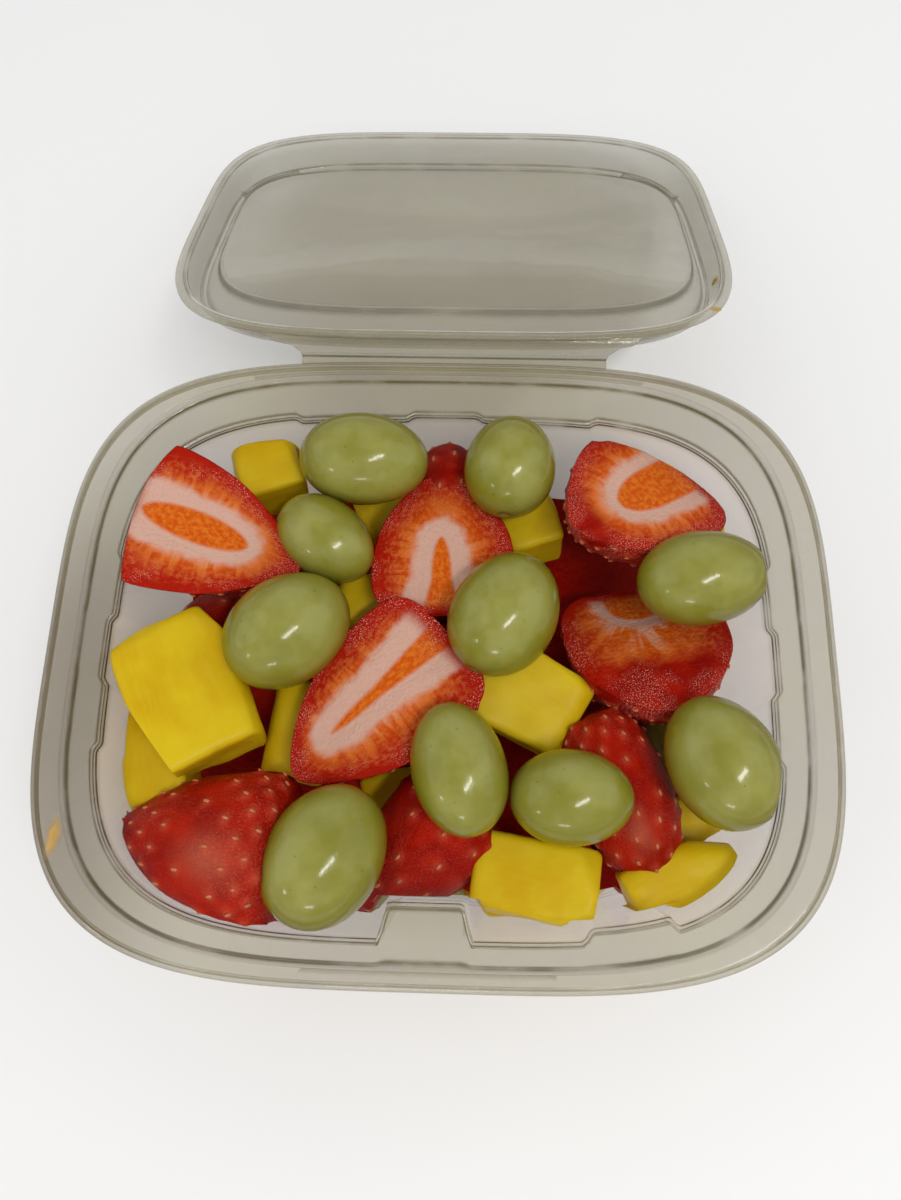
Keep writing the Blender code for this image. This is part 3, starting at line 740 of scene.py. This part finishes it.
# %% Strawberry tables
CROWN_POWER = 5.0
BERRIES = [
    ("strawberry_a", -51.5, 24.4, -1.5, 43, 28.5, 15, -19, 6, 4, 0.42, True),
    ("strawberry_b", 0.2, 26.0, -7.5, 35, 31, 14, 92, 2, 0, 0.22, True),
    ("strawberry_c", 43.0, 37.0, -4.5, 38, 33, 18, 216, -20, 4, 0.28, True),
    ("strawberry_d", -13.8, -12.0, -6.0, 45, 30, 14, 224, 4, 0, 0.26, True),
    ("strawberry_e", 47.5, 4.0, -13.0, 38, 37, 19, -80, -30, 0, 0.12, True),
    ("strawberry_f", -50.5, -41.5, -13.0, 44, 28, 15, 174, 8, 0, 0.50, False),
    ("strawberry_g", -4.5, -42.0, -20.0, 36, 24, 14, 222, 6, 0, 0.35, False),
    ("strawberry_h", 41.0, -29.5, -19.0, 40, 23, 15, -66, 4, 0, 0.02, False),
    ("strawberry_i", 0.5, 46.0, -16.0, 18, 17, 9, 80, 0, 0, 0.14, False),
    ("strawberry_j", -51.0, 9.5, -24.0, 20, 17, 10, 20, 0, 0, 0.14, False),
]
CORES = {
    "strawberry_a": (-4.0, 9.0, 3.9, 0.0, 0.5, 3.0, True),
    "strawberry_b": (-9.0, 1.5, 2.6, 0.28, 0.5, 4.2, False),
    "strawberry_c": (-7.0, 5.0, 5.6, 0.03, 0.5, 3.2, False),
    "strawberry_d": (-2.0, 11.0, 1.6, 0.10, -1.5, 4.2, False),
    "strawberry_e": (-14.0, -8.5, 7.0, 0.15, 0.0, 2.8, False),
}
PLAIN_CORE = (-6.0, 2.0, 3.0, 0.1, 0.0, 3.0, False)
TIP_SKIN = {"strawberry_c": 0.50, "strawberry_e": 0.10}
PINK_PATCHES = {"strawberry_f": (-0.45, -0.15, 0.30), "strawberry_h": (0.35, 0.15, 0.22)}
print("strawberry halves:", len(BERRIES))

# %% Strawberry shape
def berry_grid(length, width, fineness):
    """Unit points (ring, place): the profile turned through the lower half circle, then back across."""
    angle = np.linspace(math.pi, 0, 4001)
    power = np.where(angle > math.pi / 2, CROWN_POWER, 2.0)
    reach = (np.abs(np.cos(angle)) ** power + np.sin(angle) ** power) ** (-1 / power)
    s, r = reach * np.cos(angle), reach * np.sin(angle)
    walked = np.concatenate(([0], np.cumsum(np.hypot(np.diff(s) * length, np.diff(r) * width))))
    stops = np.linspace(0, walked[-1], int(100 * fineness) + 2)[1:-1]
    s, r = (np.interp(stops, walked, values)[:, None] for values in (s, r))
    lower = np.linspace(math.pi, 2 * math.pi, int(110 * fineness), endpoint=False)
    across = np.linspace(1, -1, int(70 * fineness), endpoint=False)
    t = np.concatenate((np.cos(lower), across))[None, :] * r
    w = np.concatenate((np.sin(lower), 0 * across))[None, :] * r
    return np.stack((s + 0 * t, t, w), -1)


def seed_spots(count):
    """Evenly spread places on the lower half ball, by the golden angle along its length, squared off."""
    k = np.arange(count) + 0.5
    s = 1 - 2 * k / count
    turn = k * math.pi * (3 - math.sqrt(5))
    reach = np.sqrt(1 - s * s)
    behind = s < 0
    squared = np.where(behind, reach ** (2 / CROWN_POWER), reach)
    s = np.where(behind, -np.abs(s) ** (2 / CROWN_POWER), s)
    spots = np.stack((s, squared * np.cos(turn), squared * np.sin(turn)), -1)
    return spots[(spots[:, 2] < -0.10) & (spots[:, 0] < 0.96) & (spots[:, 0] > -0.93)]


def taper(unit, length, width, depth, narrowing):
    """(s L/2, t k W/2, w k D) with k = 1 - n s - 0.2 s^2, in mm."""
    s = unit[..., 0]
    k = 1 - narrowing * s - 0.20 * s * s
    return np.stack((s * length / 2, unit[..., 1] * k * width / 2, unit[..., 2] * k * depth), -1)


def core_measures(x, y, length, core):
    """Distance in mm from the core's edge, less than 0 inside it, and the place along that edge."""
    start, end, half_width, widening, shift, _, closed = core
    y = y - shift
    turn = np.linspace(-math.pi, math.pi, 241) if closed else np.linspace(-math.pi / 2, math.pi / 2, 121)
    edge_x, edge_y = start + (end - start) * np.cos(turn), half_width * np.sin(turn)
    if not closed:
        arm = np.linspace(length / 2 + start + 4, 0, 60, endpoint=False)
        side = half_width + widening * arm
        edge_x = np.concatenate((start - arm, edge_x, start - arm[::-1]))
        edge_y = np.concatenate((-side, edge_y, side[::-1]))
    walked = np.concatenate(([0], np.cumsum(np.hypot(np.diff(edge_x), np.diff(edge_y)))))
    gap = np.hypot(x[..., None] - edge_x, y[..., None] - edge_y)
    nearest = gap.argmin(-1)
    inside = ((x - start) / (end - start)) ** 2 + (y / half_width) ** 2 < 1
    if not closed:
        inside = np.where(x < start, np.abs(y) < half_width + widening * (start - x), inside)
    return np.where(inside, -1, 1) * gap.min(-1), walked[nearest]


print("points in one half:", berry_grid(42, 32, 1.0).reshape(-1, 3).shape[0])

# %% One strawberry half
def half_berry(name, length, width, depth, narrowing, seed, flip, fineness=1.0):
    """Points and faces of one half, its attributes, and the places and directions of its seeds."""
    unit = berry_grid(length, width, fineness)
    s, t, w = np.moveaxis(unit, -1, 0)
    spots = seed_spots(int(length * width / 8.5))
    on_skin = w < -0.01
    scale = np.array((length / 2, width / 2, depth))
    gap = np.linalg.norm((unit[:, :, None, :] - spots[None, None]) * scale, axis=-1).min(-1)
    bumps = np.exp(-(gap / 1.15) ** 2) * on_skin
    lumps = 0.4 * ripple(unit * length / 2, seed, 13.0)
    swell = 1 + on_skin * (0.42 * bumps + lumps - 0.3) / (min(width, 2 * depth) / 2)
    swell = swell + 0.02 * lumps * ~on_skin
    shape = taper(unit * swell[..., None], length, width, depth, narrowing)
    flat = ~on_skin
    power = np.where(s < 0, CROWN_POWER, 2.0)
    out = np.clip((np.abs(s) ** power + np.abs(t) ** power) ** (1 / power), 0, 1)
    core = CORES.get(name, PLAIN_CORE)
    core_gap, along_core = core_measures(shape[..., 0], shape[..., 1], length, core)
    groove = np.exp(-(np.clip(core_gap, 0, None) / 2.0) ** 2)
    shape[..., 2] += flat * (0.7 * (1 - out ** 2) - 0.6 * groove)
    shape[..., 2] += flat * 0.12 * ripple(shape, seed + 9, 3.0)
    crownwards = np.clip(-(shape[..., 0] - core[0]) / (length / 2), 0, 1)
    band = core[5] * (1 + (1.3 if core[6] else 0.4) * crownwards)
    patch_s, patch_t, patch_size = PINK_PATCHES.get(name, (0, 0, 0.001))
    blush = np.exp(-((s - patch_s) ** 2 + (t - patch_t) ** 2) / patch_size ** 2) * on_skin
    points, faces = capped(shape)
    tip_skin = np.clip((s - TIP_SKIN.get(name, 2.0) + 0.10 * ripple(shape, seed + 5, 6.0)) / 0.25, 0, 1)
    values = {"pit": bumps, "skin": np.where(on_skin, 1.0, tip_skin), "core_gap": core_gap,
              "along_core": along_core, "band": band, "blush": blush,
              "skin_gap": np.where(on_skin, 0, (1 - out) * width / 2)}
    values = {label: np.append(numbers.ravel(), (numbers[0].mean(), numbers[-1].mean()))
              for label, numbers in values.items()}
    own = np.vstack((unit.reshape(-1, 3), (-1, 0, 0), (1, 0, 0))) + (3.0 * seed, 0, 0)
    places, outward = taper(spots * 1.01, length, width, depth, narrowing), spots
    if flip:
        points, places, outward = (values_in * (1, -1, -1) for values_in in (points, places, outward))
    return points, faces, own, values, places, outward


def seed_grains(places, normals):
    """A tiny pointed grain at each place, set along the surface: rings of a small egg, one mesh."""
    a = np.linspace(0.35, math.pi - 0.35, 4)[:, None]
    b = np.linspace(0, 2 * math.pi, 7, endpoint=False)[None, :]
    small = np.stack((np.cos(a) * 0.75 + 0 * b, np.sin(a) * np.cos(b) * 0.42,
                      np.sin(a) * np.sin(b) * 0.30), -1)
    grain_points, grain_faces = capped(small[:, ::-1])
    upright = normals / np.linalg.norm(normals, axis=1)[:, None]
    along = np.cross(upright, np.cross(np.array((1.0, 0, 0)), upright))
    along /= np.linalg.norm(along, axis=1)[:, None]
    side = np.cross(upright, along)
    axes = np.stack((along, side, upright), 1)
    points = np.einsum("gk,nkc->ngc", grain_points, axes) + places[:, None, :]
    faces = []
    for k in range(len(places)):
        start = k * len(grain_points)
        faces += [[corner + start for corner in face] for face in grain_faces]
    return points.reshape(-1, 3), faces


for order, row in enumerate(BERRIES):
    name, x, y, z, length, width, depth, heading, pitch, roll, narrowing, face_up = row
    half = half_berry(name, length, width, depth, narrowing, order, not face_up)
    points, faces, own, values, places, outward = half
    berry = build(name + "_half", set_down(points, x, y, z, heading, pitch, roll), faces, berry_flesh,
                  own=own, sparkle=0.9 if face_up else 0.12, **values)
    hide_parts(name)
    grains, faces = seed_grains(places, outward)
    seeds = build(name + "_seeds", set_down(grains, x, y, z, heading, pitch, roll), faces, seed_coat)
print("points in one half:", len(points))

# %% [markdown]
# ## Mango chunks
# A chunk is a box cut by hand: its eight corners are a little uneven and its edges soft. A point of
# the unit cube is pulled in to a smaller box plus a ball, and then carried to the uneven corners
# by mixing them in three directions. Two chunks have corners trimmed off by upright knife cuts.

# %% Mango finish
mango_flesh, tree, shader = finish("mango_flesh", Roughness=0.38, IOR=1.42, Subsurface_Weight=0.22,
                                   Subsurface_Scale=0.005, Specular_IOR_Level=0.17)
shader.inputs["Subsurface Radius"].default_value = (1.0, 0.6, 0.1)
own = attribute(tree, "own")
soft = use_group(tree, patches, Place=own, Scale=0.07, Softness=0.22)
squeeze = node(tree, "Mapping")
feed(tree, squeeze.inputs["Vector"], own)
squeeze.inputs["Scale"].default_value = (0.12, 1.0, 1.0)
fibre = noise(tree, squeeze.outputs[0], 0.9, 3.0, 0.55)
colour = tint(tree, soft.outputs[0], (0.590, 0.365, 0.001), (0.660, 0.480, 0.008))
colour = tint(tree, ramp(tree, fibre, 0.45, 0.72, 0.0, 0.12), colour, (0.70, 0.55, 0.040))
feed(tree, shader.inputs["Base Color"], colour)
bump(tree, shader, fibre, 0.0003, 0.15)
print("mango finish ready")

# %% Mango chunks
MANGO = [
    (-43.0, 45.0, -15.0, 17, 16, 15, 20, 6, 0),
    (-55.0, -9.2, -10.5, 36, 27, 17, -65, 0, -9),
    (-62.5, -23.5, -18.5, 24, 14, 17, -74, 0, 0),
    (-32.0, -16.5, -22.0, 15, 24, 16, -8, 0, 0),
    (20.0, -8.2, -17.0, 27, 21, 17, -28, 6, 6),
    (21.5, -47.0, -16.5, 28, 18, 17, -10, -4, 0),
    (53.0, -45.5, -19.0, 28, 14, 15, 26, 0, 0),
    (20.0, 35.5, -20.0, 15, 18, 16, 18, 0, 0),
    (-18.5, 12.5, -21.0, 11, 17, 16, 8, 0, 0),
    (57.5, -33.0, -30.0, 12, 12, 14, 30, 0, 0),
    (62.0, 38.0, -19.0, 13, 12, 14, -20, 0, 0),
    (-11.0, -29.5, -32.0, 14, 12, 12, 15, 0, 0),
]
CORNER_CUTS = {2: ((113.0, 14.0), (-155.0, 17.0), (-75.0, 12.5)), 7: ((62.0, 7.5),)}


def cube_grid(count):
    """Six grids on the faces of the cube from -1 to 1, shared points merged, faces outwards."""
    line = np.tan(np.linspace(-math.pi / 4, math.pi / 4, count))
    a, b = np.meshgrid(line, line, indexing="ij")
    one = np.ones_like(a)
    sides = []
    for axis in range(3):
        for sign in (1, -1):
            parts = [None, None, None]
            parts[axis] = sign * one
            parts[(axis + 1) % 3], parts[(axis + 2) % 3] = (a, b) if sign > 0 else (b, a)
            sides.append(np.stack(parts, -1).reshape(-1, 3))
    faces = np.vstack([grid_faces(count, count, False) + k * count * count for k in range(6)])
    merged, index = np.unique(np.round(np.vstack(sides), 5), axis=0, return_inverse=True)
    return merged, index.reshape(-1)[faces][:, ::-1]


CUBE_FINE, CUBE_FACES = cube_grid(34)
CUBE_ROUGH, ROUGH_FACES = cube_grid(14)


def trim(points, direction, distance, lean=0.0, soft=1.2):
    """Draw points beyond a plane back to it, with the edge rounded over soft mm.

    The plane faces direction, leaning up by lean degrees; without a distance it shaves off a tenth."""
    turn, rise = math.radians(direction), math.radians(lean)
    outwards = np.array((math.cos(turn) * math.cos(rise), math.sin(turn) * math.cos(rise),
                         math.sin(rise)))
    reach = points @ outwards
    over = reach - (0.9 * reach.max() if distance is None else distance)
    back = np.where(over > soft, over, np.clip(over + soft, 0, None) ** 2 / (4 * soft))
    return points - back[:, None] * outwards


def chunk(size, seed, fine=True, round_off=0.2, cuts=()):
    """Rounded cube c + r (p - c)/|p - c|, c = p held inside 1 - r, mixed from eight uneven corners."""
    cube = CUBE_FINE if fine else CUBE_ROUGH
    draw = random.Random(seed)
    ends = (-0.5, 0.5)
    corners = np.array([[value * step * draw.uniform(0.84, 1.0) for value, step in zip(size, signs)]
                        for signs in ((sx, sy, sz) for sx in ends for sy in ends for sz in ends)])
    edge = round_off * min(size) / np.array(size)
    middle = np.clip(cube, -1 + edge, 1 - edge)
    off = (cube - middle) / edge
    off /= np.maximum(np.linalg.norm(off, axis=1), 1e-9)[:, None]
    soft_cube = middle + off * edge
    share = (soft_cube + 1) / 2
    out = np.zeros_like(cube)
    for k in range(8):
        picks = [(k >> 2) & 1, (k >> 1) & 1, k & 1]
        weight = np.prod([share[:, i] if pick else 1 - share[:, i]
                          for i, pick in enumerate(picks)], axis=0)
        out += weight[:, None] * corners[k]
    out += soft_cube * (0.35 * ripple(out, seed, 11.0) + 0.08 * ripple(out, seed + 5, 4.0))[:, None]
    for direction, distance in cuts:
        out = trim(out, direction, distance)
    for _ in range(3 if fine else 0):
        out = trim(out, draw.uniform(0, 360), None, lean=draw.uniform(35, 60))
    return out, (CUBE_FACES if fine else ROUGH_FACES).tolist()


for number, (x, y, z, sx, sy, sz, heading, pitch, roll) in enumerate(MANGO, 1):
    points, faces = chunk((sx, sy, sz), number, cuts=CORNER_CUTS.get(number, ()))
    piece = build(f"mango_chunk_{number:02d}", set_down(points, x, y, z, heading, pitch, roll), faces,
                  mango_flesh, own=points + number * 40)
    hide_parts(f"mango_{number:02d}")
print("mango chunks:", len(MANGO))

# %% [markdown]
# ## The layers below
# Under the pieces on top lie more of the same. They show through the wall and in the gaps, so they
# are real pieces too, only with fewer points, round a plain core that nobody sees.

# %% Lower layers
BED_LEVELS = ((13.0, 12, 57.0, 43.0), (27.0, 12, 59.0, 45.0))
draw = random.Random(7)
heaps = {"grape": [], "mango": [], "strawberry": []}
for level, (height, count, half_x, half_y) in enumerate(BED_LEVELS):
    for index in range(count):
        angle = 2 * math.pi * (index + 0.5 * level) / count
        c, s = math.cos(angle), math.sin(angle)
        reach = (abs(c) ** TUB_POWER + abs(s) ** TUB_POWER) ** (-1 / TUB_POWER)
        x, y = c * reach * half_x, s * reach * half_y - 1.5
        turns = [height - HEIGHT + draw.uniform(-1.5, 1.5), draw.uniform(0, 360), draw.uniform(-20, 20),
                 draw.uniform(-20, 20)]
        kind = ("grape", "mango", "strawberry")[(index + level) % 3]
        if kind == "grape":
            points, faces, scar = egg(12.5, 10.0, index, 1, 24, 32)
            own, values = points + index * 31, {"scar": scar}
        elif kind == "mango":
            points, faces = chunk((20, 17, 17), index + 40, False)
            own, values = points + index * 31, {}
        else:
            points, faces, own, values, _, _ = half_berry(kind, 30, 25, 14, 0.14, index, False, 0.45)
        heaps[kind].append((set_down(points, x, y, *turns), faces, own, values))


def one_mesh(pieces):
    """Join pieces end to end: points stacked, corner numbers moved on by the points before them."""
    faces, start = [], 0
    for points, piece_faces, _, _ in pieces:
        faces += [[corner + start for corner in face] for face in piece_faces]
        start += len(points)
    values = {label: np.concatenate([piece[3][label] for piece in pieces]) for label in pieces[0][3]}
    points, own = (np.concatenate([piece[k] for piece in pieces]) for k in (0, 2))
    return points, faces, own, values


finishes = {"grape": grape_skin, "mango": mango_flesh, "strawberry": berry_flesh}
for kind, pieces in heaps.items():
    points, faces, own, values = one_mesh(pieces)
    layer = build(f"lower_{kind}_pieces", points, faces, finishes[kind], own=own, **values)

CORE_COLUMNS = 90
CORE_HEIGHTS = (32.0, 5.0, 4.3, 3.3)
CORE_INSET = 4.0
core_levels = CAVITY[1:].copy()
core_levels[:, 3] = CORE_HEIGHTS
core_levels[:, :2] -= CORE_INSET
core_sheet = pressed_sheet(refine(core_levels, 3.0), rounded_outline(TUB_POWER, CORE_COLUMNS))
points, faces = closed_floor(core_sheet)
top = len(points)
points = np.vstack((points, points[:CORE_COLUMNS].mean(0)))
faces += [[(j + 1) % CORE_COLUMNS, j, top] for j in range(CORE_COLUMNS)]
core = build("lower_core", points, faces, berry_flesh, own=points / 30.0, skin=1.0)
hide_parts("fruit_bed")
print("lower layers:", {kind: len(pieces) for kind, pieces in heaps.items()})

# %% [markdown]
# ## Juice on the plastic
# Two specks of pulp have dried on the lid's right edge, and a smear of mango on the tub's left rim.
# A line from the camera through a pixel of the photograph tells where each one sits on the solid.

# %% Juice specks and smear
pulp, tree, shader = finish("dried_pulp", Roughness=0.3, Subsurface_Weight=0.2, Subsurface_Scale=0.002,
                            Coat_Weight=0.3)
place = node(tree, "TexCoord").outputs["Object"]
feed(tree, shader.inputs["Base Color"],
     tint(tree, noise(tree, place, 900.0), (0.30, 0.17, 0.008), (0.55, 0.36, 0.05)))
juice, tree, shader = finish("mango_smear", Roughness=0.25, Coat_Weight=0.3)
feed(tree, shader.inputs["Base Color"],
     tint(tree, noise(tree, node(tree, "TexCoord").outputs["Object"], 500.0),
          (0.46, 0.23, 0.02), (0.60, 0.38, 0.07)))
feed(tree, shader.inputs["Alpha"], ramp(tree, attribute(tree, "rim", "Fac"), 0.25, 1.0, 0.85, 0.0))


def under_pixel(column, row, solid):
    """Where the camera's line through a pixel first meets a solid, and which way it faces there."""
    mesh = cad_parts[solid].data
    tree = BVHTree.FromPolygons([vert.co for vert in mesh.vertices],
                                [face.vertices for face in mesh.polygons])
    sideways, upwards = column - PHOTO_SIZE[0] / 2, PHOTO_SIZE[1] / 2 - row
    along = FORWARD * FOCAL_PIXELS + RIGHT * sideways + UP * upwards
    place, normal, _, _ = tree.ray_cast(CAMERA_AT, along.normalized())
    return place / MM, normal if normal.dot(along) < 0 else -normal


def blob(name, column, row, size, thickness, solid, body, look, seed):
    """A flat lump r(a) (cos a, sin a) with an uneven edge, domed by thickness (1 - r^2)."""
    place, normal = under_pixel(column, row, solid)
    around = np.linspace(0, 2 * math.pi, 40, endpoint=False)
    r, a = np.meshgrid(np.linspace(0.04, 1, 14), around, indexing="ij")
    uneven = 1 + 0.16 * np.sin(2 * a + seed) + 0.10 * np.sin(5 * a + 2 * seed)
    side = UP.cross(normal).normalized()
    forth = normal.cross(side)
    flat = np.stack((r * np.cos(a) * uneven * size[0] / 2, r * np.sin(a) * uneven * size[1] / 2), -1)
    rise = (1 - r ** 2) * thickness + 0.06
    top = flat @ np.array((side, forth)) + rise[..., None] * np.array(normal)
    under = flat[-1] @ np.array((side, forth)) * 0.9 - 0.05 * np.array(normal)
    rings = np.concatenate((top, under[None])) + np.array(place)
    points, faces = capped(rings[::-1])
    edge = np.append(np.concatenate((r, r[-1:]))[::-1].ravel(), (1.0, 0.0))
    made = build(name, points, faces, look, body, rim=edge)
    return made


blob("pulp_speck_upper", 715, 281, (3.4, 2.2), 0.5, "lid", "lid", pulp, 1.0)
blob("pulp_speck_lower", 716, 309, (2.4, 2.2), 0.15, "lid", "lid", pulp, 2.5)
blob("mango_smear", 53, 837, (3.6, 10.5), 0.25, "tub", "tub", juice, 0.4)
print("upper speck at:", [round(v, 1) for v in under_pixel(715, 281, "lid")[0]])

# %% [markdown]
# ## Floor and light
# A pale floor and soft light. The grapes tell where the lamps were: each has a bar of light near its
# middle, so a long lamp hung close above the camera, and two dots lower down, from windows in
# front and to the left. An even sky fills the shadows.

# %% Floor and lights
pale_floor, tree, shader = finish("pale_floor", Roughness=0.6)
shader.inputs["Base Color"].default_value = (0.88, 0.88, 0.87, 1.0)
ground = bpy.data.meshes.new("floor")
FLOOR_HALF, FLOOR_Z = 3.0, -0.0002
floor_corners = [(x * FLOOR_HALF, y * FLOOR_HALF, FLOOR_Z) for x, y in ((-1, -1), (1, -1), (1, 1), (-1, 1))]
ground.from_pydata(floor_corners, [], [(0, 1, 2, 3)])
ground.materials.append(pale_floor)
floor = bpy.data.objects.new("floor", ground)
bpy.context.scene.collection.objects.link(floor)
floor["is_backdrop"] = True


def lamp(name, at, size, power, colour):
    """A rectangular lamp in metres that looks at the heap."""
    data = bpy.data.lights.new(name, "AREA")
    data.shape = "RECTANGLE"
    data.size, data.size_y = size
    data.energy = power
    data.color = colour
    made = bpy.data.objects.new(name, data)
    made.location = at
    made.rotation_euler = (Vector((0, 0, 0.05)) - Vector(at)).to_track_quat("-Z", "Y").to_euler()
    bpy.context.scene.collection.objects.link(made)


lamp("ceiling_bar", (0.40, -0.38, 1.25), (0.60, 0.13), 6.0, (1.0, 0.98, 0.95))
lamp("far_window", (-0.10, -1.40, 0.45), (0.30, 0.10), 1.2, (1.0, 0.98, 0.95))
lamp("left_window", (-0.95, -0.85, 0.55), (0.14, 0.12), 0.6, (1.0, 0.98, 0.95))
lamp("soft_left", (-1.7, 0.1, 1.3), (2.0, 2.0), 8.5, (1.0, 0.98, 0.96))
lamp("soft_right", (1.7, 0.2, 1.3), (2.0, 2.0), 7.0, (0.98, 0.99, 1.0))
lamp("soft_front", (0.1, -1.8, 1.3), (2.0, 2.0), 5.5, (0.98, 0.99, 1.0))
lamp("soft_back", (-0.2, 1.8, 1.4), (2.0, 2.0), 5.0, (1.0, 0.99, 0.97))
sky = bpy.data.worlds.new("soft_sky")
sky.use_nodes = True
sky.node_tree.nodes["Background"].inputs["Color"].default_value = (0.96, 0.97, 1.0, 1.0)
sky.node_tree.nodes["Background"].inputs["Strength"].default_value = 0.50
bpy.context.scene.world = sky

# %% Size of the dressed part
low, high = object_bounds()
print("box in mm:", [round(v / MM, 1) for v in (*low, *high)])
